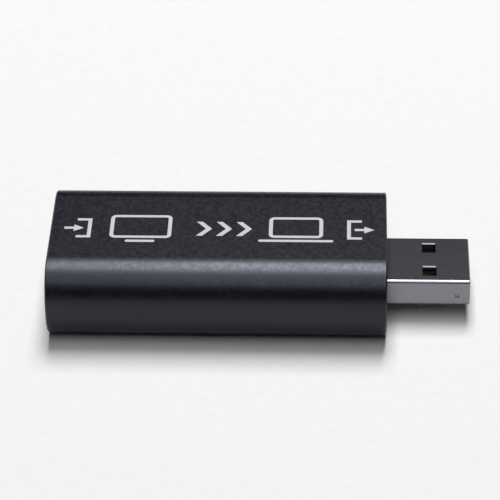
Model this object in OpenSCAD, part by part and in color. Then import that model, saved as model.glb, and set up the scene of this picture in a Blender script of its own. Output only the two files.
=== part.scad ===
// Stick-type video capture adapter. An extruded aluminium housing is closed by two moulded end caps.
// A 19-contact video socket opens at the input end and a 4-contact data plug stands out of the output end.
// Both are soldered to one circuit board, which slides in rails inside the housing.
// X runs along the housing towards the plug, Y across it, and Z up from the base it rests on.
// The origin is on the base, midway along the overall length. All sizes are millimetres.

/* [Housing] */
// Length of the extruded housing
housing_l = 52.25; // [50:0.25:60]
// Width across the rounded sides
housing_w = 28; // [26:0.5:32]
// Height from the base to the flat top
housing_h = 13; // [12.5:0.25:16]
// Outer radius of the four long corners
housing_r = 5.7; // [4.6:0.1:6]
// Wall thickness of the extrusion
wall_t = 1.2; // [0.9:0.1:1.5]
// Chamfer round both end rims
rim_chamfer = 0.2; // [0.1:0.05:0.5]

/* [Board rails] */
// Thickness of each rail
rail_t = 0.8; // [0.6:0.1:1]
// How far a rail reaches over the edge of the board
rail_grip = 0.8; // [0.5:0.1:1.2]
// Gap between a rail and the face of the board
rail_clear = 0.1; // [0.05:0.05:0.2]

/* [Circuit board] */
// Thickness of the board
board_t = 1.2; // [1:0.1:1.6]
// Gap between the housing's floor and the underside of the board
board_floor_gap = 1.6; // [1.5:0.1:2.2]
// Gap between a long edge of the board and the housing wall
board_edge_clear = 0.25; // [0.1:0.05:0.5]
// Gap between an end of the board and the end cap
board_end_clear = 0.1; // [0.05:0.05:0.3]
// Play round a lead or leg in its hole in the board
lead_clear = 0.12; // [0.08:0.01:0.2]
// How far leads and legs stand out under the board
lead_out = 0.6; // [0.3:0.1:0.8]

/* [End caps] */
// Thickness of a cap's plate
cap_t = 1.6; // [1.2:0.1:2.2]
// How far a cap sits inside the rim
cap_recess = 0.2; // [0:0.05:0.5]
// Gap between a cap and the housing wall
cap_clear = 0.05; // [0.02:0.01:0.1]
// Gap between a cap and the connector that passes through it
cap_hole_clear = 0.15; // [0.08:0.01:0.3]
// Chamfer round the edges of a cap's plate
cap_chamfer = 0.2; // [0.1:0.05:0.4]
// Length of the spring tongue under the housing's ceiling
cap_tongue_l = 5; // [3:0.5:8]
// Width of the spring tongue
cap_tongue_w = 10; // [6:0.5:14]
// Thickness of the spring tongue
cap_tongue_t = 1; // [0.8:0.1:1.4]
// Length of the jaws that hold a corner of the board
cap_jaw_l = 3; // [2:0.5:4]
// Width of a jaw
cap_jaw_w = 2.2; // [1.5:0.1:2.6]
// Thickness of a jaw
cap_jaw_t = 0.8; // [0.6:0.1:1]
// Gap between a jaw and the tip of a rail
cap_jaw_clear = 0.3; // [0.1:0.05:0.5]

/* [Data plug] */
// Length of the plug that stands out of the housing
plug_reach = 12.9; // [12.5:0.1:16]
// Length of the plug's shell that is hidden behind the rim
plug_tail = 5.5; // [5:0.25:8]
// Width of the shell
plug_w = 12; // [11.8:0.05:12.2]
// Height of the shell
plug_h = 4.5; // [4.4:0.05:4.6]
// Thickness of the shell's sheet
plug_sheet = 0.3; // [0.25:0.01:0.35]
// Outer bend radius of the shell's long edges
plug_bend_r = 0.5; // [0.4:0.05:0.8]
// Chamfer round both ends of the shell
plug_tip_chamfer = 0.15; // [0.05:0.05:0.2]
// How deep the shell sinks below the top face of the board
plug_sink = 1.2; // [0.8:0.05:1.4]
// Gap between the shell and the notch in the board
notch_clear = 0.2; // [0.1:0.05:0.4]
// Length of a latching window
window_l = 1.9; // [1.8:0.1:2.3]
// Width of a latching window
window_w = 2.3; // [2:0.1:2.6]
// Distance from the tip to the windows
window_setback = 5.3; // [5:0.1:5.6]
// Distance between the centres of the two windows
window_pitch = 6.2; // [5.6:0.1:6.4]
// Chamfer pressed round the outer edges of a window
window_chamfer = 0.15; // [0.05:0.01:0.22]
// Width of the seam where the rolled sheet meets
seam_w = 0.08; // [0.05:0.01:0.15]
// Half the length of the seam's dovetail at its neck
seam_neck = 0.7; // [0.5:0.05:0.9]
// Half the length of the seam's dovetail at its head
seam_head = 1.1; // [1:0.05:1.4]
// Width of the seam's dovetail across the plug
seam_lock = 0.9; // [0.6:0.05:1.2]
// Radius of the round dimple on each side of the shell
dimple_r = 0.35; // [0.2:0.05:0.5]
// Distance from the tip to the dimple
dimple_setback = 2; // [1.5:0.1:3]
// Height of the dimple above the shell's underside
dimple_up = 1.8; // [1.5:0.1:3]
// Distance from the back of the shell to the ears that stand on the board
ear_setback = 0.6; // [0.4:0.1:1]
// Length of an ear along the plug
ear_l = 2; // [1.5:0.1:2.2]
// How far the ears stand out sideways
ear_reach = 1.4; // [1.2:0.1:1.8]
// Thickness of the insulator's tongue
plug_tongue_t = 1.95; // [1.85:0.05:2.05]
// Gap between the insulator and the shell
plug_fit = 0.03; // [0.01:0.01:0.06]
// Distance from the tip to the front of the insulator
plug_tongue_setback = 0.5; // [0.3:0.1:0.8]
// Depth of the hollow above the tongue
plug_hollow = 11.8; // [11:0.1:12.5]
// Chamfer along the front of the tongue, which leads a mating plate in
plug_tongue_chamfer = 0.35; // [0.1:0.05:0.5]

/* [Data plug contacts] */
// Width of a contact
plug_contact_w = 1; // [0.9:0.05:1.1]
// Thickness of a contact
plug_contact_t = 0.25; // [0.2:0.01:0.3]
// How far a contact stands above the tongue
plug_contact_proud = 0.1; // [0.05:0.01:0.15]
// Distance between the two inner contacts
plug_inner_pitch = 2; // [1.8:0.1:2.2]
// Distance between the two outer contacts
plug_outer_pitch = 7; // [6.8:0.1:7.2]
// Distance from the tongue's front to the outer contacts
plug_outer_setback = 1.2; // [0.8:0.1:1.8]
// Distance from the tongue's front to the inner contacts
plug_inner_setback = 2.2; // [1.8:0.1:2.8]
// Length of the soldered foot of a contact
plug_foot = 1.4; // [1:0.1:1.8]
// Gap between the shell's back edge and the contacts' bend
plug_foot_gap = 0.4; // [0.3:0.05:0.6]

/* [Video socket] */
// Depth of the socket's shell
socket_l = 11.5; // [10.5:0.1:13]
// Width of the opening at its top
socket_w = 14; // [13.9:0.05:14.2]
// Height of the opening
socket_h = 4.55; // [4.5:0.05:4.7]
// Width of the opening's floor
socket_floor_w = 10.6; // [10.2:0.1:11]
// Height of the slanted part of each side
socket_shoulder = 1.9; // [1.6:0.1:2.2]
// Inner bend radius of the shell's corners
socket_bend_r = 0.4; // [0.2:0.05:0.5]
// Thickness of the shell's sheet
socket_sheet = 0.3; // [0.25:0.01:0.35]
// Length of a retention finger
finger_l = 4.6; // [3.5:0.1:5.5]
// Width of a retention finger
finger_w = 1.7; // [1.2:0.1:2]
// Width of the slot round a finger
finger_slot = 0.35; // [0.25:0.05:0.5]
// How far a finger bends into the opening
finger_dip = 0.4; // [0.2:0.05:0.5]
// Distance from a finger's root to the knee where it turns back
finger_knee = 3.3; // [2.4:0.1:3.4]
// How far a finger's tip turns back from its knee
finger_lift = 0.25; // [0.1:0.05:0.35]
// How far a finger's root laps into the wall
finger_root = 0.2; // [0.1:0.05:0.4]
// Distance from the socket's front to the root of a finger
finger_setback = 1.6; // [1.2:0.1:2.2]
// Distance between the centres of the two fingers of a wall
finger_pitch = 6.4; // [5.6:0.1:7]
// Width of a leg that passes through the board
leg_w = 1.2; // [0.9:0.1:1.5]
// Distance from the socket's front to its front legs
front_leg_x = 4.2; // [3.8:0.1:5]
// How far a leg laps up the straight part of a side
leg_lap = 0.8; // [0.5:0.1:1.2]
// Distance from the socket's front to its rear legs
rear_leg_x = 9.4; // [8.6:0.1:9.8]
// Length of the insulator's block at the back
socket_block_l = 3; // [2.5:0.1:3.5]
// Gap between the insulator and the shell
socket_fit = 0.04; // [0.02:0.01:0.08]
// Width of the tongue
tongue_w = 10.8; // [10.4:0.1:11.2]
// Thickness of the tongue
tongue_t = 1.3; // [1.1:0.05:1.5]
// Height of the tongue above the opening's floor
tongue_up = 1.65; // [1.4:0.05:1.8]
// Distance from the socket's front to the tongue
tongue_setback = 1.8; // [1:0.1:2.5]
// Chamfers along the front of the tongue
tongue_chamfer = 0.3; // [0.1:0.05:0.4]

/* [Video socket contacts] */
// Contacts in the upper row
upper_count = 10; // [4:1:10]
// Contacts in the lower row
lower_count = 9; // [3:1:9]
// Distance between contacts of a row
contact_pitch = 1; // [0.9:0.05:1]
// Width of a contact
contact_w = 0.4; // [0.3:0.02:0.42]
// Thickness of a contact
contact_t = 0.15; // [0.1:0.01:0.2]
// How far a contact stands out of the tongue
contact_proud = 0.05; // [0.03:0.01:0.08]
// Distance from the tongue's front to the contacts
contact_setback = 0.6; // [0.4:0.1:1]
// Distance from the back of the shell to the upper contacts' bend
upper_riser = 0.55; // [0.45:0.05:0.7]
// Distance from the back of the shell to the lower contacts' bend
lower_riser = 0.2; // [0.1:0.05:0.35]
// Length of the soldered foot of a contact
contact_foot = 1.1; // [0.8:0.1:1.4]

/* [Capture chip] */
// Side of the square package
chip_side = 9; // [7:0.5:10]
// Height of the package
chip_h = 0.85; // [0.7:0.05:1]
// Distance between pads
chip_pad_pitch = 0.5; // [0.4:0.05:0.65]
// Distance from a corner of the package to the nearest pad
chip_pad_corner = 0.75; // [0.6:0.05:1]
// Width of a pad
chip_pad_w = 0.25; // [0.15:0.05:0.3]
// Length of a pad
chip_pad_l = 0.55; // [0.4:0.05:0.7]
// Thickness of a pad
chip_pad_t = 0.1; // [0.05:0.01:0.15]
// How far a pad shows outside the package
chip_pad_out = 0.15; // [0.1:0.05:0.3]
// Distance from the socket's solder feet to the middle of the chip
chip_from_socket = 12; // [11.8:0.1:14]

/* [Memory chip] */
// Length of the package
memory_l = 4.9; // [4.5:0.1:5.2]
// Width of the package
memory_w = 3.9; // [3.6:0.1:4.2]
// Height of the package
memory_h = 1.4; // [1.2:0.1:1.6]
// Distance between leads
memory_pitch = 1.27; // [1:0.01:1.3]

/* [Regulators] */
// Length of a package
regulator_l = 2.9; // [2.7:0.1:3.1]
// Width of a package
regulator_w = 1.6; // [1.4:0.1:1.8]
// Height of a package
regulator_h = 1.1; // [0.9:0.1:1.3]
// Distance between leads
regulator_pitch = 0.95; // [0.85:0.01:1.05]

/* [Leaded packages] */
// Gap under a package
lead_stand = 0.15; // [0.1:0.01:0.2]
// Thickness of a lead
lead_t = 0.18; // [0.12:0.01:0.22]
// Width of a lead
lead_w = 0.42; // [0.3:0.02:0.5]
// How far a lead runs out before it turns down
lead_shoulder = 0.3; // [0.2:0.05:0.5]
// Length of a lead's foot
lead_foot = 0.5; // [0.4:0.05:0.7]

/* [Power inductors] */
// Side of the square shield
inductor_side = 4; // [3:0.1:4.4]
// Height of the shield
inductor_h = 2; // [1.2:0.1:2.4]
// Thickness of the terminals under it
inductor_term_t = 0.2; // [0.1:0.05:0.3]

/* [Crystal] */
// Length of the ceramic base
crystal_l = 3.2; // [2.5:0.1:4]
// Width of the ceramic base
crystal_w = 2.5; // [2:0.1:2.6]
// Height of the ceramic base
crystal_base_h = 0.5; // [0.4:0.05:0.6]
// Height of the metal lid
crystal_lid_h = 0.25; // [0.15:0.05:0.35]

/* [Surge arrays] */
// Length of an array along the adapter
surge_l = 1; // [0.8:0.1:1.2]
// Width of an array across the adapter
surge_w = 2.5; // [2:0.1:2.6]
// Height of an array
surge_h = 0.55; // [0.4:0.05:0.7]
// Arrays behind the video socket
surge_count = 4; // [2:1:4]

/* [Small chip parts] */
// Length of a chip capacitor or resistor
small_l = 1.6; // [1.4:0.1:1.8]
// Width of a chip capacitor or resistor
small_w = 0.8; // [0.6:0.05:0.9]
// Height of a chip capacitor
capacitor_h = 0.8; // [0.5:0.05:0.9]
// Height of a chip resistor
resistor_h = 0.45; // [0.35:0.05:0.6]
// Length of each metal end
small_end = 0.3; // [0.2:0.05:0.4]
// Resistors in the row behind the surge arrays
resistor_count = 8; // [4:1:8]
// Capacitors along each side of the capture chip
ring_count = 3; // [2:1:3]
// Distance between capacitors along a side of the capture chip
ring_pitch = 2.2; // [1.8:0.1:2.6]
// Least gap between neighbouring parts on the board
part_gap = 0.5; // [0.3:0.05:0.7]

/* [Hidden] */
$fn = 64;
SIDES = [-1, 1];
THROUGH = 1; // how far a cut runs past the faces it opens

overall_l = housing_l + plug_reach;
x_in = -overall_l / 2;
x_out = x_in + housing_l;
x_tip = x_out + plug_reach;

inner_w = housing_w - 2 * wall_t;
inner_h = housing_h - 2 * wall_t;
inner_r = housing_r - wall_t;
mid_z = housing_h / 2;
ceiling_z = housing_h - wall_t;

cap_in_x = x_in + cap_recess;
cap_out_x = x_out - cap_recess - cap_t;

board_x0 = cap_in_x + cap_t + board_end_clear;
board_x1 = cap_out_x - board_end_clear;
board_z = wall_t + board_floor_gap;
board_top = board_z + board_t;
board_half_w = cavity_half_w(board_z) - board_edge_clear;
rail_tip = board_half_w - rail_grip;
lead_end_z = board_z - lead_out;

plug_z0 = board_top - plug_sink;
plug_mid_z = plug_z0 + plug_h / 2;
plug_rear = x_out - plug_tail;
plug_inner_r = plug_bend_r - plug_sheet;
window_x = x_tip - window_setback - window_l / 2;
plug_tongue_top = plug_z0 + plug_sheet + plug_fit + plug_tongue_t;
ear_x = plug_rear + ear_setback;
ear_tip = plug_w / 2 + ear_reach;

socket_x = cap_in_x;
socket_rear = socket_x + socket_l;
socket_z0 = board_top + socket_sheet;
tongue_z = socket_z0 + tongue_up;
leg_top = socket_z0 + socket_shoulder + leg_lap;

// The board's free field starts behind the socket's solder feet.
field_in = socket_rear + upper_riser + contact_t + contact_foot;
chip_x = field_in + chip_from_socket;
chip_pads = 1 + floor((chip_side - 2 * chip_pad_corner) / chip_pad_pitch);
ring_r = chip_side / 2 + chip_pad_out + part_gap + small_l / 2;
crystal_y = -(ring_r + small_l / 2 + part_gap + crystal_w / 2);
power_x = chip_x + ring_r + small_l / 2 + part_gap + inductor_side / 2;
power_pitch = max(inductor_side, regulator_l) + part_gap;
lead_run = lead_shoulder + lead_t + lead_foot;
inductor_y = -(board_half_w - rail_grip - part_gap - inductor_side / 2);
regulator_y = inductor_y + inductor_side / 2 + part_gap + lead_run + regulator_w / 2;
filter_y = ring_r + small_l / 2 + part_gap + small_w / 2;
memory_x = power_x + power_pitch / 2;
memory_y = regulator_y + regulator_w / 2 + 2 * lead_run + part_gap + memory_w / 2;
surge_x = field_in + part_gap + surge_l / 2;
surge_pitch = surge_w + part_gap;
resistor_x = surge_x + surge_l / 2 + part_gap + small_l / 2;
resistor_pitch = small_w + part_gap;

// Half the cavity's width at a height: the corner arc below the straight side wall.
function cavity_half_w(z) =
  z >= housing_r ? inner_w / 2
  : housing_w / 2 - housing_r + sqrt(inner_r * inner_r - (housing_r - z) * (housing_r - z));

// Middle of each place in a row of n places.
function row(n, pitch) = [for (i = [0:n - 1]) (i - (n - 1) / 2) * pitch];

// A section drawn in Y and Z, run along X from x by l.
module along_x(x, l) {
  translate([x, 0, 0]) rotate([90, 0, 90]) linear_extrude(l) children();
}

// An outline drawn in X and Z, run along Y over the width w about y.
module along_y(y, w) {
  translate([0, y + w / 2, 0]) rotate([90, 0, 0]) linear_extrude(w) children();
}

// A block given by its low and high corners.
module block(low, high) {
  translate(low) cube(high - low);
}

// A rectangle with true round corners, about a middle.
module rounded_rect(w, h, r, z) {
  translate([0, z]) {
    square([w, h - 2 * r], center = true);
    square([w - 2 * r, h], center = true);
    for (sy = SIDES, sz = SIDES) translate([sy * (w / 2 - r), sz * (h / 2 - r)]) circle(r);
  }
}

// A round-cornered bar along X, about a middle height, with both end rims chamfered by c.
module chamfered_bar(x, l, w, h, r, z, c) {
  translate([x, 0, z]) {
    for (sy = SIDES, sz = SIDES)
      translate([0, sy * (w / 2 - r), sz * (h / 2 - r)]) rotate([0, 90, 0])
        rotate_extrude() polygon([[0, 0], [r - c, 0], [r, c], [r, l - c], [r - c, l], [0, l]]);
    along_y(0, w - 2 * r) bar_outline(l, h, c);
    translate([0, 0, r - h / 2]) linear_extrude(h - 2 * r) bar_outline(l, w, c);
  }
}

// The lengthwise outline of such a bar, of depth d.
module bar_outline(l, d, c) {
  polygon([
    [0, c - d / 2], [c, -d / 2], [l - c, -d / 2], [l, c - d / 2],
    [l, d / 2 - c], [l - c, d / 2], [c, d / 2], [0, d / 2 - c]
  ]);
}

// Housing and end caps

module housing() {
  color("#2b2c33") {
    difference() {
      chamfered_bar(x_in, housing_l, housing_w, housing_h, housing_r, mid_z, rim_chamfer);
      along_x(x_in - THROUGH, housing_l + 2 * THROUGH) rounded_rect(inner_w, inner_h, inner_r, mid_z);
    }
    board_rails();
  }
}

// Two rails on each side wall hold the board's long edges. They stop where the caps seat.
module board_rails() {
  x0 = cap_in_x + cap_t;
  mid_wall_r = housing_r - wall_t / 2;
  intersection() {
    along_x(x0, cap_out_x - x0) rounded_rect(housing_w - wall_t, housing_h - wall_t, mid_wall_r, mid_z);
    for (side = [0, 1], z = [board_z - rail_clear - rail_t, board_top + rail_clear]) mirror([0, side, 0])
      block([x0 - THROUGH, rail_tip, z], [cap_out_x + THROUGH, housing_w / 2, z + rail_t]);
  }
}

// A cap's plate, with the spring tongue and jaws that reach inwards (run is 1 or -1 along X).
module cap_body(plate_x, inner_x, run) {
  plate_w = inner_w - 2 * cap_clear;
  plate_h = inner_h - 2 * cap_clear;
  chamfered_bar(plate_x, cap_t, plate_w, plate_h, inner_r - cap_clear, mid_z, cap_chamfer);
  tongue_top = ceiling_z - cap_clear;
  jaw_y = rail_tip - cap_jaw_clear - cap_jaw_w / 2;
  cap_reach(inner_x, run, cap_tongue_l, 0, cap_tongue_w, tongue_top - cap_tongue_t, cap_tongue_t);
  for (side = SIDES, z = [board_z - rail_clear - cap_jaw_t, board_top + rail_clear])
    cap_reach(inner_x, run, cap_jaw_l, side * jaw_y, cap_jaw_w, z, cap_jaw_t);
}

// One finger of a cap, rooted in its plate.
module cap_reach(inner_x, run, l, y, w, z, t) {
  root = cap_t / 2;
  x0 = run > 0 ? inner_x - root : inner_x - l;
  translate([x0, y - w / 2, z]) cube([l + root, w, t]);
}

module input_end_cap() {
  color("#1d1d20") difference() {
    cap_body(cap_in_x, cap_in_x + cap_t, 1);
    along_x(cap_in_x - THROUGH, cap_t + 2 * THROUGH) socket_outline(socket_sheet + cap_hole_clear);
  }
}

module output_end_cap() {
  hole_w = plug_w + 2 * cap_hole_clear;
  hole_h = plug_h + 2 * cap_hole_clear;
  hole_r = plug_bend_r + cap_hole_clear;
  color("#1d1d20") difference() {
    cap_body(cap_out_x, cap_out_x, -1);
    along_x(cap_out_x - THROUGH, cap_t + 2 * THROUGH) rounded_rect(hole_w, hole_h, hole_r, plug_mid_z);
  }
}

// Circuit board

module circuit_board() {
  color("#1f5a37") difference() {
    block([board_x0, -board_half_w, board_z], [board_x1, board_half_w, board_top]);
    block(
      [plug_rear - notch_clear, -plug_w / 2 - notch_clear, board_z - THROUGH],
      [board_x1 + THROUGH, plug_w / 2 + notch_clear, board_top + THROUGH]
    );
    for (side = SIDES) {
      for (x = [front_leg_x, rear_leg_x])
        leg_hole(socket_x + x, leg_w, side * (socket_w + socket_sheet) / 2, socket_sheet);
      leg_hole(ear_x, ear_l, side * (ear_tip - plug_sheet / 2), plug_sheet);
    }
  }
}

// A slot in the board for a flat leg that starts at x, is l long and t thick, about y.
module leg_hole(x, l, y, t) {
  translate([x - lead_clear, y - t / 2 - lead_clear, board_z - THROUGH])
    cube([l + 2 * lead_clear, t + 2 * lead_clear, board_t + 2 * THROUGH]);
}

// Video socket

// The opening's section: a straight upper part over two slanted lower sides, grown by a distance.
module socket_outline(grow) {
  translate([0, socket_z0]) offset(r = socket_bend_r + grow) offset(delta = -socket_bend_r)
    polygon([
      [-socket_floor_w / 2, 0], [socket_floor_w / 2, 0],
      [socket_w / 2, socket_shoulder], [socket_w / 2, socket_h],
      [-socket_w / 2, socket_h], [-socket_w / 2, socket_shoulder]
    ]);
}

module socket_shell() {
  color("#b9bbbd") {
    difference() {
      along_x(socket_x, socket_l) socket_outline(socket_sheet);
      along_x(socket_x - THROUGH, socket_l + 2 * THROUGH) socket_outline(0);
      for (y = row(2, finger_pitch)) finger_cut(y);
    }
    for (y = row(2, finger_pitch)) {
      finger(y, socket_z0 + socket_h, 1);
      finger(y, socket_z0, -1);
    }
    for (side = SIDES, x = [front_leg_x, rear_leg_x])
      translate([socket_x + x, side * (socket_w + socket_sheet) / 2 - socket_sheet / 2, lead_end_z])
        cube([leg_w, socket_sheet, leg_top - lead_end_z]);
  }
}

// The opening round a finger, through the top and bottom walls together.
module finger_cut(y) {
  w = finger_w + 2 * finger_slot;
  translate([socket_x + finger_setback, y - w / 2, socket_z0 - socket_sheet - THROUGH])
    cube([finger_l + finger_slot, w, socket_h + 2 * socket_sheet + 2 * THROUGH]);
}

// A spring finger cut from a wall: it leans into the opening and turns back at its tip.
// Out is 1 for the wall above and -1 for the wall below.
module finger(y, wall_z, out) {
  tip = finger_lift - finger_dip;
  translate([socket_x + finger_setback, 0, wall_z]) mirror([0, 0, out > 0 ? 0 : 1]) along_y(y, finger_w)
    polygon([
      [-finger_root, 0], [0, 0], [finger_knee, -finger_dip], [finger_l, tip],
      [finger_l, tip + socket_sheet], [finger_knee, socket_sheet - finger_dip],
      [0, socket_sheet], [-finger_root, socket_sheet]
    ]);
}

module socket_insulator() {
  color("#161618") difference() {
    union() {
      along_x(socket_rear - socket_block_l, socket_block_l) socket_outline(-socket_fit);
      along_y(0, tongue_w) socket_tongue_outline();
    }
    for (y = row(upper_count, contact_pitch)) along_y(y, contact_w) socket_contact_groove(1);
    for (y = row(lower_count, contact_pitch)) along_y(y, contact_w) socket_contact_groove(-1);
  }
}

// The tongue from the side, from its eased front to inside the block.
module socket_tongue_outline() {
  x0 = socket_x + tongue_setback;
  x1 = socket_rear - socket_block_l / 2;
  z1 = tongue_z + tongue_t;
  c = tongue_chamfer;
  polygon([[x0 + c, tongue_z], [x1, tongue_z], [x1, z1], [x0 + c, z1], [x0, z1 - c], [x0, tongue_z + c]]);
}

// Height of the outer face of a row of contacts: 1 is the upper row, -1 the lower row.
function contact_face(row_side) =
  row_side > 0 ? tongue_z + tongue_t + contact_proud : tongue_z - contact_proud + contact_t;

// The groove that a contact lies in, from the tongue's front out of the back of the block.
module socket_contact_groove(row_side) {
  face = contact_face(row_side);
  x0 = socket_x + tongue_setback + contact_setback;
  translate([x0, face - contact_t]) square([socket_rear + THROUGH - x0, contact_t]);
}

// A contact: along the tongue, through the block, down to the board and back along it.
module socket_contact(row_side, riser) {
  face = contact_face(row_side);
  x0 = socket_x + tongue_setback + contact_setback;
  x1 = socket_rear + riser;
  x2 = x1 + contact_t + contact_foot;
  polygon([
    [x0, face], [x1 + contact_t, face], [x1 + contact_t, board_top + contact_t], [x2, board_top + contact_t],
    [x2, board_top], [x1, board_top], [x1, face - contact_t], [x0, face - contact_t]
  ]);
}

module socket_upper_contacts() {
  color("#c9a24a")
    for (y = row(upper_count, contact_pitch)) along_y(y, contact_w) socket_contact(1, upper_riser);
}

module socket_lower_contacts() {
  color("#c9a24a")
    for (y = row(lower_count, contact_pitch)) along_y(y, contact_w) socket_contact(-1, lower_riser);
}

// Data plug

module plug_shell() {
  l = x_tip - plug_rear;
  color("#9a9a9d") {
    difference() {
      chamfered_bar(plug_rear, l, plug_w, plug_h, plug_bend_r, plug_mid_z, plug_tip_chamfer);
      along_x(plug_rear - THROUGH, l + 2 * THROUGH) plug_bore(0);
      for (y = row(2, window_pitch)) plug_window(y);
      plug_seam();
      for (side = SIDES) plug_dimple(side);
    }
    for (side = SIDES) plug_ear(side);
  }
}

// The inner section of the shell, shrunk by a fit.
module plug_bore(fit) {
  shrink = 2 * (plug_sheet + fit);
  rounded_rect(plug_w - shrink, plug_h - shrink, plug_inner_r, plug_mid_z);
}

// A latching window through both wide walls, with its outer edges eased all round.
module plug_window(y) {
  translate([window_x, y, plug_mid_z]) {
    cube([window_l, window_w, plug_h + 2 * THROUGH], center = true);
    for (turn = [0, 180]) rotate([turn, 0, 0]) translate([0, 0, plug_h / 2]) intersection() {
      along_x(-window_l, 2 * window_l) window_flare(window_w);
      along_y(0, 2 * window_w) window_flare(window_l);
    }
  }
}

// The section of a window's eased edges across an opening of a size, with the wall's outer face at 0.
module window_flare(size) {
  out = size / 2 + window_chamfer + THROUGH;
  polygon([[-size / 2, -window_chamfer], [size / 2, -window_chamfer], [out, THROUGH], [-out, THROUGH]]);
}

// The seam under the plug, where the sheet's two edges lock in a dovetail.
module plug_seam() {
  lean = (norm([seam_head - seam_neck, seam_lock]) + seam_head - seam_neck) / seam_lock * seam_w;
  translate([0, 0, plug_z0 - THROUGH]) linear_extrude(plug_sheet + THROUGH + plug_fit / 2) polygon(concat(
    seam_edge(seam_neck, seam_head, 0, seam_lock),
    reverse(seam_edge(seam_neck + lean, seam_head + lean, seam_w, seam_lock + seam_w))
  ));
}

// One edge of the seam, from behind the shell to past its tip. The dovetail lies between the windows.
function seam_edge(neck, head, y, head_y) = [
  [plug_rear - THROUGH, y], [window_x - neck, y], [window_x - head, head_y],
  [window_x + head, head_y], [window_x + neck, y], [x_tip + THROUGH, y]
];

function reverse(points) = [for (i = [len(points) - 1:-1:0]) points[i]];

// A shallow cone pressed into a side wall near the tip.
module plug_dimple(side) {
  depth = plug_sheet / 2;
  translate([x_tip - dimple_setback, side * plug_w / 2, plug_z0 + dimple_up]) rotate([side * 90, 0, 0])
    cylinder(h = depth, r1 = dimple_r, r2 = dimple_r / 2);
}

// An ear folded out of a side wall: it lies on the board and turns down through it.
module plug_ear(side) {
  root = plug_w / 2 - plug_sheet / 2;
  mirror([0, side > 0 ? 0 : 1, 0]) {
    block([ear_x, root, board_top], [ear_x + ear_l, ear_tip, board_top + plug_sheet]);
    block([ear_x, ear_tip - plug_sheet, lead_end_z], [ear_x + ear_l, ear_tip, board_top + plug_sheet]);
  }
}

module plug_insulator() {
  front = x_tip - plug_tongue_setback;
  color("#141416") difference() {
    intersection() {
      along_x(plug_rear, front - plug_rear) plug_bore(plug_fit);
      union() {
        along_y(0, 2 * plug_w) polygon([
          [plug_rear - THROUGH, 0], [front, 0], [front, plug_tongue_top - plug_tongue_chamfer],
          [front - plug_tongue_chamfer, plug_tongue_top], [plug_rear - THROUGH, plug_tongue_top]
        ]);
        block([plug_rear - THROUGH, -plug_w, 0], [x_tip - plug_hollow, plug_w, housing_h]);
      }
    }
    for (c = plug_contact_places()) along_y(c.x, plug_contact_w) plug_contact_groove(c.y);
  }
}

// [Y, setback] of the four contacts.
function plug_contact_places() = [
  for (side = SIDES) each [
    [side * plug_outer_pitch / 2, plug_outer_setback],
    [side * plug_inner_pitch / 2, plug_inner_setback]
  ]
];

module plug_contact_groove(setback) {
  x1 = x_tip - plug_tongue_setback - setback;
  face = plug_tongue_top + plug_contact_proud;
  translate([plug_rear - THROUGH, face - plug_contact_t]) square([x1 - plug_rear + THROUGH, plug_contact_t]);
}

// A contact: along the tongue, out of the back of the insulator and down to a foot on the board.
module plug_contact(setback) {
  t = plug_contact_t;
  face = plug_tongue_top + plug_contact_proud;
  x1 = x_tip - plug_tongue_setback - setback;
  x0 = plug_rear - plug_foot_gap;
  polygon([
    [x1, face], [x0 - t, face], [x0 - t, board_top + t], [x0 - t - plug_foot, board_top + t],
    [x0 - t - plug_foot, board_top], [x0, board_top], [x0, face - t], [x1, face - t]
  ]);
}

module plug_contacts() {
  color("#c9a24a") for (c = plug_contact_places()) along_y(c.x, plug_contact_w) plug_contact(c.y);
}

// Parts on the board

module on_board(x, y, turn = 0) {
  translate([x, y, board_top]) rotate(turn) children();
}

// A moulded package that stands on its leads, with a round mark at its first lead.
module package(l, w, h, stand) {
  mark_r = w / 12;
  mark_inset = w / 6;
  mark_depth = 0.08;
  difference() {
    translate([-l / 2, -w / 2, stand]) cube([l, w, h]);
    translate([mark_inset - l / 2, mark_inset - w / 2, stand + h - mark_depth])
      cylinder(h = mark_depth + THROUGH, r = mark_r);
  }
}

// Bent leads along both long sides of a package: the X places of each side are given.
module bent_leads(w, h, near_side, far_side) {
  mid = lead_stand + h / 2;
  for (s = [[near_side, 180], [far_side, 0]]) rotate(s[1]) for (x = s[0])
    translate([x, w / 2, 0]) rotate([0, 0, 90]) along_y(0, lead_w)
      polygon([
        [0, mid + lead_t / 2], [lead_shoulder + lead_t, mid + lead_t / 2], [lead_shoulder + lead_t, lead_t],
        [lead_run, lead_t], [lead_run, 0], [lead_shoulder, 0],
        [lead_shoulder, mid - lead_t / 2], [0, mid - lead_t / 2]
      ]);
}

module capture_chip() {
  color("#202124") on_board(chip_x, 0) package(chip_side, chip_side, chip_h, chip_pad_t);
}

module capture_chip_pads() {
  color("#b5b6b8") on_board(chip_x, 0) for (turn = [0:90:270], y = row(chip_pads, chip_pad_pitch))
    rotate(turn) translate([chip_side / 2 + chip_pad_out - chip_pad_l, y - chip_pad_w / 2, 0])
      cube([chip_pad_l, chip_pad_w, chip_pad_t]);
}

module memory_chip() {
  color("#202124") on_board(memory_x, memory_y) package(memory_l, memory_w, memory_h, lead_stand);
}

module memory_chip_leads() {
  places = row(4, memory_pitch);
  color("#b5b6b8") on_board(memory_x, memory_y) bent_leads(memory_w, memory_h, places, places);
}

module regulators() {
  color("#202124") for (i = [0, 1]) on_board(power_x + i * power_pitch, regulator_y)
    package(regulator_l, regulator_w, regulator_h, lead_stand);
}

module regulator_leads() {
  color("#b5b6b8") for (i = [0, 1]) on_board(power_x + i * power_pitch, regulator_y)
    bent_leads(regulator_w, regulator_h, row(3, regulator_pitch), row(2, 2 * regulator_pitch));
}

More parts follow.
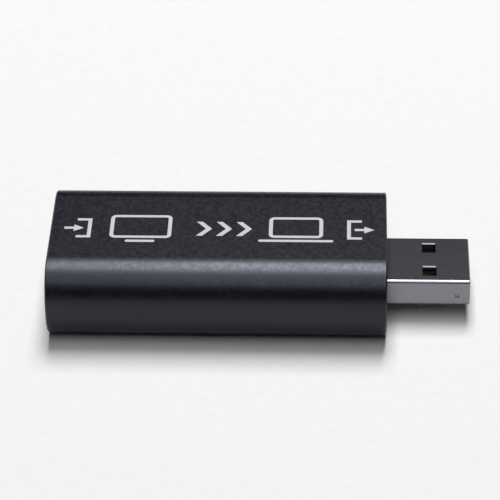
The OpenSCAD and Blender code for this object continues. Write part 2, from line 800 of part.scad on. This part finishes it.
// A shielded inductor: a square ferrite with cut corners round a drum core.
module power_inductors() {
  half = inductor_side / 2;
  flat = half - inductor_side / 6;
  core_r = 0.36 * inductor_side;
  gap = 0.05 * inductor_side;
  groove = inductor_h / 4;
  color("#4a4b4e") for (i = [0, 1]) on_board(power_x + i * power_pitch, inductor_y)
    translate([0, 0, inductor_term_t]) difference() {
      linear_extrude(inductor_h) polygon([
        [half, -flat], [half, flat], [flat, half], [-flat, half],
        [-half, flat], [-half, -flat], [-flat, -half], [flat, -half]
      ]);
      translate([0, 0, inductor_h - groove]) difference() {
        cylinder(h = groove + THROUGH, r = core_r + gap);
        translate([0, 0, -THROUGH]) cylinder(h = groove + 3 * THROUGH, r = core_r);
      }
    }
}

module inductor_terminals() {
  l = inductor_side / 4;
  w = 0.55 * inductor_side;
  color("#b5b6b8") for (i = [0, 1], side = SIDES) on_board(power_x + i * power_pitch, inductor_y)
    translate([side * (inductor_side - l) / 2 - l / 2, -w / 2, 0]) cube([l, w, inductor_term_t]);
}

module crystal_base() {
  color("#d8d2c2") on_board(chip_x, crystal_y)
    translate([-crystal_l / 2, -crystal_w / 2, 0]) cube([crystal_l, crystal_w, crystal_base_h]);
}

module crystal_lid() {
  inset = 0.2;
  r = 0.3;
  color("#c3c5c7") on_board(chip_x, crystal_y) translate([0, 0, crystal_base_h]) linear_extrude(crystal_lid_h)
    rounded_rect(crystal_l - 2 * inset, crystal_w - 2 * inset, r, 0);
}

module surge_arrays() {
  color("#202124") for (y = row(surge_count, surge_pitch)) on_board(surge_x, y)
    translate([-surge_l / 2, -surge_w / 2, 0]) cube([surge_l, surge_w, surge_h]);
}

// [X, Y, turn] of the capacitors: a ring round the capture chip and a row beside it that filters its supply.
function capacitor_places() = concat(
  [for (turn = [0, 90, 180, 270], y = row(ring_count, ring_pitch))
    [chip_x + ring_r * cos(turn) - y * sin(turn), ring_r * sin(turn) + y * cos(turn), turn]],
  [for (x = row(2, small_l + part_gap)) [chip_x + x, filter_y, 0]]
);

function resistor_places() = [for (y = row(resistor_count, resistor_pitch)) [resistor_x, y, 0]];

// The ceramic middle of a small chip part, between its two metal ends.
module small_body(h) {
  l = small_l - 2 * small_end;
  translate([-l / 2, -small_w / 2, 0]) cube([l, small_w, h]);
}

module small_ends(h) {
  for (side = SIDES) translate([side * (small_l - small_end) / 2 - small_end / 2, -small_w / 2, 0])
    cube([small_end, small_w, h]);
}

module capacitors() {
  color("#a58258") for (p = capacitor_places()) on_board(p.x, p.y, p.z) small_body(capacitor_h);
}

module capacitor_ends() {
  color("#c3c5c7") for (p = capacitor_places()) on_board(p.x, p.y, p.z) small_ends(capacitor_h);
}

module resistors() {
  color("#202124") for (p = resistor_places()) on_board(p.x, p.y, p.z) small_body(resistor_h);
}

module resistor_ends() {
  color("#c3c5c7") for (p = resistor_places()) on_board(p.x, p.y, p.z) small_ends(resistor_h);
}

housing();
input_end_cap();
output_end_cap();
circuit_board();
socket_shell();
socket_insulator();
socket_upper_contacts();
socket_lower_contacts();
plug_shell();
plug_insulator();
plug_contacts();
capture_chip();
capture_chip_pads();
memory_chip();
memory_chip_leads();
regulators();
regulator_leads();
power_inductors();
inductor_terminals();
crystal_base();
crystal_lid();
surge_arrays();
capacitors();
capacitor_ends();
resistors();
resistor_ends();
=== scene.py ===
# %% [markdown]
# # Dressing a stick-type video capture adapter
# The adapter is a black metal bar with a video socket in one end and a flat data plug at the other. Its
# solids come from a CAD model, already at their real size and place, so nothing here moves or resizes
# them. This lesson gives them a camera, a finish for every surface, printed signs on top, a floor and
# light. Each step first says what the real thing is, then how it could be made, and why it is made this
# way.

# %% Load the solids
import math

import bpy
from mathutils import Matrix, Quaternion, Vector


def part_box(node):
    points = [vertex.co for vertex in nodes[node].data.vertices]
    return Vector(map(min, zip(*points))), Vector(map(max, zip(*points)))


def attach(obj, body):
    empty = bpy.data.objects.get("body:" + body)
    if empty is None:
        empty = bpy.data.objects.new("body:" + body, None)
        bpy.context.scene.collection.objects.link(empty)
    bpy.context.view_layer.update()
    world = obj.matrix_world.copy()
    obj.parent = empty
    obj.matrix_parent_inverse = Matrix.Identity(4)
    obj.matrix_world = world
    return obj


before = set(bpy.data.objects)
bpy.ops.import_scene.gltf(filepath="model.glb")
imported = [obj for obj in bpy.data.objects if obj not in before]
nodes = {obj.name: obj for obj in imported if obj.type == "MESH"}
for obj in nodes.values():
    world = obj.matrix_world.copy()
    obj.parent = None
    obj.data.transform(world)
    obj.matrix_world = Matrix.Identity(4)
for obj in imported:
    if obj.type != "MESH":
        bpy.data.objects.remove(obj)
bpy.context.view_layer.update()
MM = 0.001  # Blender counts in metres

# %% [markdown]
# ## The camera
# The photograph was taken with a long lens from in front and above, so the long edges stay almost
# parallel. One could push a camera about until the picture looks right. Here the angles, the distance and
# the lens were worked out from the outlines of the housing and the plug instead, which puts every edge in
# its place. A camera looks along its own -Z, so it is turned until its Z axis points from the adapter to
# the camera. The roll is the small tilt of the adapter in the picture, and the shift frames it as the
# photograph does.

# %% Where the camera stands
AZIMUTH = 2.98  # degrees from the front towards the right
ELEVATION = 35.296
ROLL = -1.229
DISTANCE = 451.06 * MM

housing_low, housing_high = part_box("housing")
middle = (housing_low + housing_high) / 2


def direction(azimuth, elevation):
    """The way from the adapter to a place round it, in degrees. Azimuth 0 is in front, 90 to the right."""
    turn = math.radians(azimuth)
    flat = math.cos(math.radians(elevation))
    return Vector((math.sin(turn) * flat, -math.cos(turn) * flat, math.sin(math.radians(elevation))))


back = direction(AZIMUTH, ELEVATION)
print("from the middle of the housing, the camera stands towards", [round(v, 3) for v in back])

# %% Camera
PICTURE = 500  # pixels along each side of the picture
FOCAL = 2880.4  # pixels
MIDDLE_PIXEL = (219.22, 261.63)  # where the middle of the housing lies in the picture
SENSOR = 36  # mm

lens = bpy.data.cameras.new("camera")
lens.sensor_width = SENSOR
lens.lens = FOCAL * SENSOR / PICTURE
lens.shift_x = 0.5 - MIDDLE_PIXEL[0] / PICTURE
lens.shift_y = MIDDLE_PIXEL[1] / PICTURE - 0.5
lens.clip_start = 10 * MM
lens.clip_end = 20  # metres
camera = bpy.data.objects.new("camera", lens)
bpy.context.scene.collection.objects.link(camera)
camera.location = middle + DISTANCE * back
camera.rotation_mode = "QUATERNION"
camera.rotation_quaternion = back.to_track_quat("Z", "Y") @ Quaternion((0, 0, 1), math.radians(ROLL))
bpy.context.scene.camera = camera
print("camera: lens", round(lens.lens, 1), "mm, shift", round(lens.shift_x, 3), round(lens.shift_y, 3))

# %% [markdown]
# ## Colours and sizes
# A colour is written as the sRGB hex value that one would pick on a screen. Cycles counts in linear
# light, so one function turns the first into the second. A pattern has a real size in millimetres, but a
# texture node wants to know how often it repeats in a metre. Both could be worked out by hand for each
# material. With two functions, the numbers below stay readable.

# %% Colours and sizes
def linear(colour):
    """An sRGB hex colour as linear red, green, blue and an alpha of 1."""
    shares = [int(colour[i:i + 2], 16) / 255 for i in (1, 3, 5)]
    return tuple(c / 12.92 if c <= 0.04045 else ((c + 0.055) / 1.055) ** 2.4 for c in shares) + (1,)


def per_metre(size_mm):
    """The scale at which a texture repeats once in a size given in millimetres."""
    return 1 / (size_mm * MM)


print("mid grey #808080 is", round(linear("#808080")[0], 3), "in linear light")
print("a grain of 0.5 mm repeats", per_metre(0.5), "times in a metre")

# %% [markdown]
# ## A material to start from
# A material is a net of nodes that one could wire up by hand in the shader editor. In a script each node
# takes several lines, so one function adds a node with its settings and its links, and a net reads like a
# list. Every finish here starts from a Principled shader. What is the same all over a piece, such as
# being a metal, is set on the shader's own socket. A pattern is laid out by the place of a point on the
# piece, so it stays put.

# %% A material to start from
def add_node(tree, kind, inputs=None, **settings):
    """Add a node. A setting is one of its attributes; an input is a value, or a socket to link from."""
    node = tree.nodes.new("ShaderNode" + kind)
    for name, value in settings.items():
        setattr(node, name, value)
    for name, value in (inputs or {}).items():
        if isinstance(value, bpy.types.NodeSocket):
            tree.links.new(value, node.inputs[name])
        else:
            node.inputs[name].default_value = value
    return node


def new_material(name, constants=None):
    """A material, its net, its shader with constant values, and the place of a point on the piece."""
    material = bpy.data.materials.new(name)
    material.use_nodes = True
    tree = material.node_tree
    tree.nodes.clear()
    shader = add_node(tree, "BsdfPrincipled", constants)
    add_node(tree, "OutputMaterial", {"Surface": shader.outputs["BSDF"]})
    place = add_node(tree, "TexCoord").outputs["Object"]
    return material, tree, shader, place


print("solids that wait for a finish:", ", ".join(sorted(nodes)))

# %% [markdown]
# ## One grain for many finishes
# Blasted metal, moulded plastic, epoxy and ceramic all show a fine grain when one looks closely. It could
# come from a picture of the real surface, but a noise needs no file, has no seams and fits any size. A
# grain changes three things at once: the shade, the gloss and the relief. So one noise drives all three,
# and a darker spot is also a smoother and deeper one. Drawn out, the same grain gives the streaks of
# rolled sheet. The finishes below then differ only in their values.

# %% Grain
GRAIN_LOW, GRAIN_HIGH = 0.32, 0.68  # the noise seldom leaves this range
GRAIN_DETAIL = 3.0  # finer and finer noises that are added to the first
GRAIN_FADE = 0.6  # how strong each of them is beside the one before


def grained(name, size_mm, colours, roughness, height_mm, stretch=(1, 1, 1), constants=None):
    """A finish whose grain sets colour, roughness and relief. Stretch: how much longer it is in X, Y, Z."""
    material, tree, shader, place = new_material(name, constants)
    squeeze = tuple(1 / s for s in stretch)
    place = add_node(tree, "Mapping", {"Vector": place, "Scale": squeeze}).outputs["Vector"]
    grain = add_node(tree, "TexNoise", {
        "Vector": place, "Scale": per_metre(size_mm), "Detail": GRAIN_DETAIL, "Roughness": GRAIN_FADE,
    }).outputs["Fac"]
    shade = add_node(tree, "ValToRGB", {"Fac": grain})
    for stop, position, colour in zip(shade.color_ramp.elements, (GRAIN_LOW, GRAIN_HIGH), colours):
        stop.position = position
        stop.color = linear(colour)
    gloss = add_node(tree, "MapRange", {
        "Value": grain, "From Min": GRAIN_LOW, "From Max": GRAIN_HIGH,
        "To Min": roughness[0], "To Max": roughness[1],
    })
    relief = add_node(tree, "Bump", {"Height": grain, "Distance": height_mm * MM})
    tree.links.new(shade.outputs["Color"], shader.inputs["Base Color"])
    tree.links.new(gloss.outputs["Result"], shader.inputs["Roughness"])
    tree.links.new(relief.outputs["Normal"], shader.inputs["Normal"])
    print("made", name, "with a grain of", size_mm, "mm")
    return material


# %% [markdown]
# ## Black anodised aluminium
# The housing is an extruded tube that was blasted with fine beads and then anodised black. Blasting
# leaves tiny dents, so a lamp shows as a soft, slightly sparkling band along the rounded corner. It could
# be made as a dark metal, but the dyed oxide is a clear layer over a near-black ground, which mirrors
# little, as a varnish does. So the shader isn't metallic. Its specular level is about that of plastic,
# and a bluish tint gives the cool black that the photograph shows. Real dents are about 0.1 mm, too fine
# to show in the picture, so the grain is drawn at 0.6 mm.

# %% Black anodised aluminium
def cover(material, *names):
    """Give a finish to solids of the CAD model."""
    for name in names:
        nodes[name].material_slots[0].material = material
    print(material.name, "on", ", ".join(names))


anodising = grained(
    "blasted_black_anodising", size_mm=0.6, colours=("#040407", "#0d0e14"), roughness=(0.31, 0.41),
    height_mm=0.01, stretch=(1, 1.3, 1.3),
    constants={"Specular IOR Level": 0.515, "Specular Tint": linear("#dfe4f8")},
)
cover(anodising, "housing")

# %% [markdown]
# ## Black moulded plastic
# The two end caps are moulded plates of ABS. Their mould was spark-eroded, which prints a matt pattern of
# small pits on the plastic. It scatters the light, so the caps look duller and flatter than the housing.
# The pits could be modelled by displacing a dense mesh. At 0.22 mm they show as dullness and not as
# single pits, so a rough shader with a low relief gives the same look.

# %% Black moulded plastic
abs_plastic = grained(
    "spark_eroded_black_abs", size_mm=0.22, colours=("#131315", "#1d1d20"), roughness=(0.52, 0.64),
    height_mm=0.02,
)
cover(abs_plastic, "input_end_cap", "output_end_cap")

# %% [markdown]
# ## Nickel-plated steel
# The shells of the plug and the socket are folded from rolled sheet and plated with nickel. Rolling
# leaves faint streaks along the sheet, and the plate keeps them as a satin shine. An anisotropic shader
# could smear the reflections in the same way, but it shows no single streak. So a long thin grain along X
# draws them, with little contrast, because the plate covers most of them. It is metallic, so nearly all
# that it shows is a mirror of the room. Bright nickel mirrors more than half of the light; the plug in
# the photograph looks darker, and the colours follow it. Real streaks are a few hundredths of a
# millimetre wide, so they are drawn coarser, at 0.15 mm.

# %% Nickel-plated steel
METAL = {"Metallic": 1.0}

nickel = grained(
    "satin_nickel_plate", size_mm=0.15, colours=("#7d7e83", "#85868b"), roughness=(0.232, 0.247),
    height_mm=0.00005, stretch=(40, 1, 1), constants=METAL,
)
cover(nickel, "plug_shell", "socket_shell", "crystal_lid")

# %% [markdown]
# ## Black connector plastic
# The tongues that carry the contacts are moulded from glass-filled nylon in a polished mould. The short
# glass fibres leave a slight unevenness in an otherwise satin surface. Single fibres could be drawn, but
# deep in the mouths only the sheen shows. So the grain is drawn out to twice its length along X, the way
# that the melt flowed into the mould.

# %% Black connector plastic
nylon = grained(
    "satin_black_nylon", size_mm=0.4, colours=("#29292c", "#353539"), roughness=(0.36, 0.46),
    height_mm=0.004, stretch=(2, 1, 1),
)
cover(nylon, "plug_insulator", "socket_insulator")

# %% [markdown]
# ## Gold-plated contacts
# The contacts are stamped from copper alloy strip and plated with hard gold over nickel, a bit paler than
# pure gold. A yellow paint would look flat. A metallic shader tints what it mirrors instead, as the plate
# does, so the contacts glow where they catch the light and go dark where they don't. The strip was rolled
# as well, so it has faint streaks along its length.

# %% Gold-plated contacts
gold = grained(
    "hard_gold_plate", size_mm=0.2, colours=("#dcb768", "#e4c278"), roughness=(0.2, 0.24),
    height_mm=0.0002, stretch=(12, 1, 1), constants=METAL,
)
cover(gold, "plug_contacts", "socket_upper_contacts", "socket_lower_contacts")

# %% [markdown]
# ## Copper tracks under solder mask
# The circuit board is glass-fibre laminate with copper tracks, under a green lacquer called solder mask.
# Tracks run in bundles along the board, and the lacquer over them looks lighter and stands up a little. A
# layout could be modelled track by track, but the board lies in a closed housing, so a pattern is enough.
# A wave texture gives even lines, and large random cells choose where a bundle runs, as a layout would.

# %% Copper tracks
TRACK_PITCH = 0.8  # mm
BUNDLE_SIZE = 5  # mm
BARE_SHARE = 0.45  # of the cells have no tracks
WAVE_PITCH = 2 * math.pi / 20  # from one line to the next, in a wave texture with a scale of 1

mask, tree, shader, place = new_material("green_solder_mask", {"Roughness": 0.32})
lines = add_node(tree, "TexWave", {
    "Vector": place, "Scale": WAVE_PITCH * per_metre(TRACK_PITCH), "Distortion": 0.0,
}, bands_direction="Y").outputs["Fac"]
cells = add_node(tree, "TexVoronoi", {"Vector": place, "Scale": per_metre(BUNDLE_SIZE)})
draw = add_node(tree, "SeparateColor", {"Color": cells.outputs["Color"]}).outputs["Red"]
bundle = add_node(tree, "Math", {0: draw, 1: BARE_SHARE}, operation="GREATER_THAN").outputs["Value"]
copper = add_node(tree, "Math", {0: lines, 1: bundle}, operation="MULTIPLY").outputs["Value"]
print("tracks", TRACK_PITCH, "mm apart, in bundles about", BUNDLE_SIZE, "mm wide")

# %% [markdown]
# ## Solder mask and cut edges
# The lacquer is semi-gloss, dark green over the laminate and lighter over copper. The board was cut from
# a larger panel, so its edges have no lacquer and show the straw colour of the laminate. Faces could be
# given two materials, but the CAD mesh is left as it is. So the surface's own normal tells the wide
# faces, which look up or down, from the edges.

# %% Solder mask
TRACK_EDGE = (0.45, 0.6)  # where on a wave the copper begins, and where it is full
COPPER_HEIGHT = 0.02 * MM

lacquer = add_node(tree, "ValToRGB", {"Fac": copper})
for stop, position, colour in zip(lacquer.color_ramp.elements, TRACK_EDGE, ("#0c3a22", "#1a6038")):
    stop.position = position
    stop.color = linear(colour)
normal = add_node(tree, "NewGeometry").outputs["Normal"]
upright = add_node(tree, "SeparateXYZ", {"Vector": normal}).outputs["Z"]
wide_face = add_node(tree, "Math", {0: upright}, operation="ABSOLUTE").outputs["Value"]
shade = add_node(tree, "Mix", {
    "Factor": wide_face, "A": linear("#a3925c"), "B": lacquer.outputs["Color"],
}, data_type="RGBA")
relief = add_node(tree, "Bump", {"Height": copper, "Distance": COPPER_HEIGHT})
tree.links.new(shade.outputs["Result"], shader.inputs["Base Color"])
tree.links.new(relief.outputs["Normal"], shader.inputs["Normal"])
cover(mask, "circuit_board")

# %% [markdown]
# ## Chips and their leads
# Chips are moulded in epoxy that is filled with ground quartz, so they are dull, with a fine speckle.
# Their leads and pads are tinned, which gives a soft, matt metal. So are the ends of the smaller parts.
# Both could share finishes with the caps and the shells, but epoxy is greyer than ABS and tin is paler
# and duller than nickel, and a board on which all parts look alike doesn't look real. They show when the
# housing is open.

# %% Chips and their leads
epoxy = grained(
    "chip_epoxy", size_mm=0.12, colours=("#161719", "#242528"), roughness=(0.55, 0.68), height_mm=0.004,
)
cover(epoxy, "capture_chip", "memory_chip", "regulators", "surge_arrays")

tin = grained(
    "matt_tin_plate", size_mm=0.15, colours=("#a9aaab", "#c6c7c8"), roughness=(0.36, 0.5), height_mm=0.002,
    constants=METAL,
)
cover(tin, "capture_chip_pads", "memory_chip_leads", "regulator_leads", "inductor_terminals",
      "capacitor_ends", "resistor_ends")

# %% [markdown]
# ## Ferrite, ceramic and glaze
# The other parts on the board were fired in a kiln. The inductors are sintered ferrite, dark grey and
# dull. The crystal stands in a white ceramic base, the capacitors are tan ceramic with a slight gloss,
# and the resistors have a black glaze, smooth enough to mirror a lamp. Each could be one flat colour at
# this size, but a fired surface is never quite even, so each has a fine grain.

# %% Ferrite, ceramic and glaze
ferrite = grained(
    "sintered_ferrite", size_mm=0.18, colours=("#333437", "#4b4c50"), roughness=(0.6, 0.75),
    height_mm=0.006,
)
cover(ferrite, "power_inductors")

white_ceramic = grained(
    "fired_white_ceramic", size_mm=0.2, colours=("#d2ccbd", "#e4dfd2"), roughness=(0.45, 0.56),
    height_mm=0.002,
)
cover(white_ceramic, "crystal_base")

tan_ceramic = grained(
    "fired_tan_ceramic", size_mm=0.15, colours=("#946f48", "#b28c62"), roughness=(0.34, 0.46),
    height_mm=0.002,
)
cover(tan_ceramic, "capacitors")

glaze = grained(
    "glossy_black_glaze", size_mm=0.3, colours=("#111113", "#19191c"), roughness=(0.14, 0.24),
    height_mm=0.002,
)
cover(glaze, "resistors")

# %% [markdown]
# ## Printing ink
# The top of such an adapter is pad-printed in pale grey: a silicone pad lays down a film of ink. The film
# dries matt and follows the blasted metal, so it is a little uneven. The signs could be a texture, but
# thin solids also keep a sharp edge close up. Real ink is about 0.01 mm thick.
# It is made 0.02 mm here, so that it stays clear of the metal below it.

# %% Printing ink
INK_THICKNESS = 0.02 * MM
LINE = 0.6 * MM  # the width of a printed line

ink = grained(
    "pad_print_ink", size_mm=0.25, colours=("#bdbdc3", "#d0d0d5"), roughness=(0.5, 0.62), height_mm=0.003,
)
top = housing_high.z
print("ink lies", round(top / MM, 2), "mm above the floor")

# %% [markdown]
# ## From a plane to a printed sign
# The signs are plain ones. An arrow goes into a frame at the input end and out of one at the output end,
# and between them a screen, three chevrons and a computer say what the adapter does. They could be drawn
# as curves, but shapes this simple are quicker to cut from planes, as with a pair of scissors. Each
# starts as a plane on top of the housing and is cut to shape in edit mode. The flat shapes of a sign are
# then joined and extruded to the thickness of the ink, which makes a closed solid.

# %% Start and finish a sign
def start_plane(x, y, width, depth):
    """A rectangle on top of the housing, in edit mode with all of it selected."""
    bpy.ops.object.select_all(action="DESELECT")
    bpy.ops.mesh.primitive_plane_add(size=1, location=(x, y, top))
    plane = bpy.context.object
    plane.scale = (width, depth, 1)
    bpy.ops.object.transform_apply(location=True, rotation=True, scale=True)
    bpy.ops.object.mode_set(mode="EDIT")
    bpy.ops.mesh.select_mode(type="VERT")
    bpy.ops.mesh.select_all(action="SELECT")
    return plane


def print_sign(name, shapes):
    """Join flat shapes, extrude them to the thickness of the ink and let the sign ride on the adapter."""
    sign = shapes[0]
    bpy.ops.object.select_all(action="DESELECT")
    for shape in shapes:
        shape.select_set(True)
    bpy.context.view_layer.objects.active = sign
    bpy.ops.object.join()
    sign.name = name
    bpy.ops.object.mode_set(mode="EDIT")
    bpy.ops.mesh.select_all(action="SELECT")
    bpy.ops.mesh.extrude_region_move(TRANSFORM_OT_translate={"value": (0, 0, INK_THICKNESS)})
    bpy.ops.mesh.select_all(action="SELECT")
    bpy.ops.mesh.normals_make_consistent(inside=False)
    bpy.ops.object.mode_set(mode="OBJECT")
    sign.data.materials.append(ink)
    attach(sign, "root")
    print(name, len(sign.data.polygons), "faces")


# %% [markdown]
# ### Screen and computer
# Both are outlines with rounded corners, over a bar: the foot of the screen, and the keyboard of the
# computer seen from its edge. The outline could be four bars, but then the corners would have to be
# fitted. So a vertex bevel rounds the corners of one plane, an inset draws the line inside its edge, and
# the face that is left in the middle is deleted.

# %% Outlines and bars
CORNER, CORNER_STEPS = 0.9 * MM, 6
BAR_END, BAR_END_STEPS = 0.45 * LINE, 4  # a little under half the line, so that the two corners don't meet


def hollow():
    """Turn the selected face into an outline as wide as a line."""
    bpy.ops.mesh.select_mode(type="FACE")
    bpy.ops.mesh.inset(thickness=LINE, depth=0)
    bpy.ops.mesh.delete(type="FACE")


def rounded_outline(x, y, width, depth):
    """A line round a rectangle, with rounded corners."""
    outline = start_plane(x, y, width, depth)
    bpy.ops.mesh.bevel(offset=CORNER, segments=CORNER_STEPS, affect="VERTICES")
    bpy.ops.mesh.select_all(action="SELECT")
    hollow()
    bpy.ops.object.mode_set(mode="OBJECT")
    return outline


def bar_with_round_ends(x, y, width):
    """A line along X."""
    bar = start_plane(x, y, width, LINE)
    bpy.ops.mesh.bevel(offset=BAR_END, segments=BAR_END_STEPS, affect="VERTICES")
    bpy.ops.object.mode_set(mode="OBJECT")
    return bar


# %% Screen and computer
MARK_Y = -0.4 * MM  # the row of signs lies a little in front of the middle, where the top is seen best
GAP = 0.5 * MM  # between an outline and its bar
SCREEN_X, SCREEN_W, SCREEN_D = -18.5 * MM, 9.6 * MM, 6.2 * MM
FOOT_W = 4.6 * MM
COMPUTER_X, COMPUTER_W, COMPUTER_D = 5.6 * MM, 8.4 * MM, 5.6 * MM
KEYBOARD_W = 11.6 * MM

outline_y = MARK_Y + GAP
screen = rounded_outline(SCREEN_X, outline_y, SCREEN_W, SCREEN_D)
foot = bar_with_round_ends(SCREEN_X, outline_y - SCREEN_D / 2 - GAP - LINE / 2, FOOT_W)
print_sign("printed_screen", [screen, foot])

display = rounded_outline(COMPUTER_X, outline_y, COMPUTER_W, COMPUTER_D)
keyboard = bar_with_round_ends(COMPUTER_X, outline_y - COMPUTER_D / 2 - GAP - LINE / 2, KEYBOARD_W)
print_sign("printed_computer", [display, keyboard])

# %% [markdown]
# ### Chevrons
# Three chevrons show which way the picture goes. A chevron is two slanted strokes that meet in a point.
# Two turned bars could make it, but they would overlap in the point. So it starts as a narrow plane,
# whose far edge is extruded to double its length, and then the vertices in the middle are pulled to the
# right. The other two are copies, each with its own mesh.

# %% One chevron
CHEVRON_X = -9.4 * MM
CHEVRON_STROKE, CHEVRON_HALF, CHEVRON_POINT = 0.95 * MM, 1.9 * MM, 1.5 * MM


def pick(shape, wanted):
    """Select the vertices at wanted places, in edit mode."""
    bpy.ops.mesh.select_mode(type="VERT")
    bpy.ops.mesh.select_all(action="DESELECT")
    bpy.ops.object.mode_set(mode="OBJECT")
    for vertex in shape.data.vertices:
        vertex.select = wanted(vertex.co)
    bpy.ops.object.mode_set(mode="EDIT")


near_half_y = MARK_Y - CHEVRON_HALF / 2
chevron = start_plane(CHEVRON_X, near_half_y, CHEVRON_STROKE, CHEVRON_HALF)
pick(chevron, lambda v: v.y > near_half_y)
bpy.ops.mesh.extrude_region_move(TRANSFORM_OT_translate={"value": (0, CHEVRON_HALF, 0)})
pick(chevron, lambda v: abs(v.y - MARK_Y) < CHEVRON_HALF / 4)
bpy.ops.transform.translate(value=(CHEVRON_POINT, 0, 0))
bpy.ops.object.mode_set(mode="OBJECT")
print("one chevron is", [round(v / MM, 2) for v in chevron.dimensions], "mm in size")

# %% Row of chevrons
CHEVRON_COUNT, CHEVRON_PITCH = 3, 3.1 * MM

chevrons = [chevron]
for i in range(1, CHEVRON_COUNT):
    bpy.ops.object.select_all(action="DESELECT")
    chevron.select_set(True)
    bpy.context.view_layer.objects.active = chevron
    bpy.ops.object.duplicate(linked=False)
    bpy.ops.transform.translate(value=(i * CHEVRON_PITCH, 0, 0))
    bpy.ops.object.transform_apply(location=True, rotation=True, scale=True)
    chevrons.append(bpy.context.object)
print_sign("printed_chevrons", chevrons)

# %% [markdown]
# ### Input and output signs
# Each is a frame that is open on one side, with an arrow through the open side. The frame could be three
# bars, but an outline that a bisect trims has clean corners and straight ends. The arrow starts as a
# circle of three vertices, which is its head. The head's base is made three lines wide, so that it can be
# cut in three, and its middle piece is extruded to become the shaft.

# %% Arrow
HEAD_R = LINE * math.sqrt(3)  # a three-sided circle of this radius has sides three lines long
SHAFT_L = 1.5 * MM


def arrow(x):
    """An arrow to the right, with the middle of its head at x."""
    bpy.ops.object.select_all(action="DESELECT")
    bpy.ops.mesh.primitive_circle_add(vertices=3, radius=HEAD_R, fill_type="NGON",
                                      location=(x, MARK_Y, top), rotation=(0, 0, -math.pi / 2))
    head = bpy.context.object
    bpy.ops.object.transform_apply(location=True, rotation=True, scale=True)
    bpy.ops.object.mode_set(mode="EDIT")
    pick(head, lambda v: v.x < x)
    bpy.ops.mesh.subdivide(number_cuts=2)
    pick(head, lambda v: v.x < x and abs(v.y - MARK_Y) < LINE)
    bpy.ops.mesh.extrude_region_move(TRANSFORM_OT_translate={"value": (-SHAFT_L, 0, 0)})
    bpy.ops.object.mode_set(mode="OBJECT")
    return head


# %% Input and output signs
SIGN_W, SIGN_D = 3.4 * MM, 5.2 * MM
TRIM = 1.1 * MM  # how much of the frame is cut off on its open side
INPUT_X, OUTPUT_X = -27.9 * MM, 15.2 * MM
INPUT_HEAD_X = INPUT_X - 0.5 * MM
OUTPUT_HEAD_X = OUTPUT_X + 1.5 * MM


def end_sign(name, x, open_side, head_x):
    """A frame open to the left (-1) or the right (1), with an arrow to the right."""
    outline = start_plane(x, MARK_Y, SIGN_W, SIGN_D)
    hollow()
    bpy.ops.mesh.select_all(action="SELECT")
    cut = x + open_side * (SIGN_W / 2 - TRIM)
    bpy.ops.mesh.bisect(plane_co=(cut, MARK_Y, top), plane_no=(open_side, 0, 0), clear_outer=True)
    bpy.ops.object.mode_set(mode="OBJECT")
    print_sign(name, [outline, arrow(head_x)])


end_sign("printed_input_sign", INPUT_X, -1, INPUT_HEAD_X)
end_sign("printed_output_sign", OUTPUT_X, 1, OUTPUT_HEAD_X)

# %% [markdown]
# ## Floor
# The adapter lies on a sheet of pale studio paper. Paper is matt, so the floor has no gloss, and its
# fibres make it a little uneven. A floor that only catches shadows could do, but then the metal would
# have nothing to mirror. So it is a real plane, wide enough to fill the picture from any side. Its grain
# is drawn at 2 mm, coarser than real fibres, so that it just shows. It isn't attached to the adapter,
# because it isn't part of the object.

# %% Floor
FLOOR_W = 4  # metres

bpy.ops.object.select_all(action="DESELECT")
bpy.ops.mesh.primitive_plane_add(size=FLOOR_W, location=(0, 0, 0))
floor = bpy.context.object
floor.name = "floor"
paper = grained(
    "studio_paper", size_mm=2, colours=("#eeeeee", "#f1f1f1"), roughness=(0.9, 1.0), height_mm=0.001,
    constants={"Specular IOR Level": 0.0},
)
floor.data.materials.append(paper)
print("floor", FLOOR_W, "m wide")

# %% [markdown]
# ## Light
# A black object is shaped by what it mirrors. In a studio that is a softbox: a lamp behind a large white
# cloth. One hangs above and a little behind the adapter, so that its reflection runs as a band along the
# near rounded corner and its shadow falls to the front. A tall, weaker panel leans over from the front.
# It lets the band fade out slowly down the side, and lights the fold of the plug and the eased edges of
# its windows. A picture of a studio could light it all at once, but two area lamps can each be set for
# what they do. Their power is worked out from how bright their faces look, where 1 is the white of the
# picture.

# %% Softboxes
def softbox(name, azimuth, elevation, distance, width, height, radiance):
    """A soft light that looks at the adapter."""
    lamp = bpy.data.lights.new(name, "AREA")
    lamp.shape = "RECTANGLE"
    lamp.size = width
    lamp.size_y = height
    lamp.energy = radiance * math.pi * width * height
    light = bpy.data.objects.new(name, lamp)
    way = direction(azimuth, elevation)
    light.location = middle + way * distance
    light.rotation_mode = "QUATERNION"
    light.rotation_quaternion = way.to_track_quat("Z", "Y")
    bpy.context.scene.collection.objects.link(light)
    print(name, "power", round(lamp.energy, 2), "W")


softbox("overhead_softbox", azimuth=175, elevation=70.8, distance=1.0, width=0.32, height=0.61,
        radiance=14.85)
softbox("front_panel", azimuth=0, elevation=67.5, distance=1.2, width=0.41, height=1.1, radiance=3.0)

# %% [markdown]
# ## The room
# Beyond the lamps the studio is dim. The flat top of the housing and the wide side of the plug mirror it,
# and so they stay dark beside the band. A bright world would be simpler than lamps, but it would wash the
# black out. Lamps and room together are set so that a colour renders about as it is written, and the
# Standard view shows it without a film look on top.

# %% Room
ROOM_COLOUR = linear("#2d2d30")

room = bpy.data.worlds.new("studio")
room.use_nodes = True
room.node_tree.nodes["Background"].inputs["Color"].default_value = ROOM_COLOUR
bpy.context.scene.world = room
bpy.context.scene.view_settings.view_transform = "Standard"
print("the room has", round(ROOM_COLOUR[0], 3), "of the light of white")
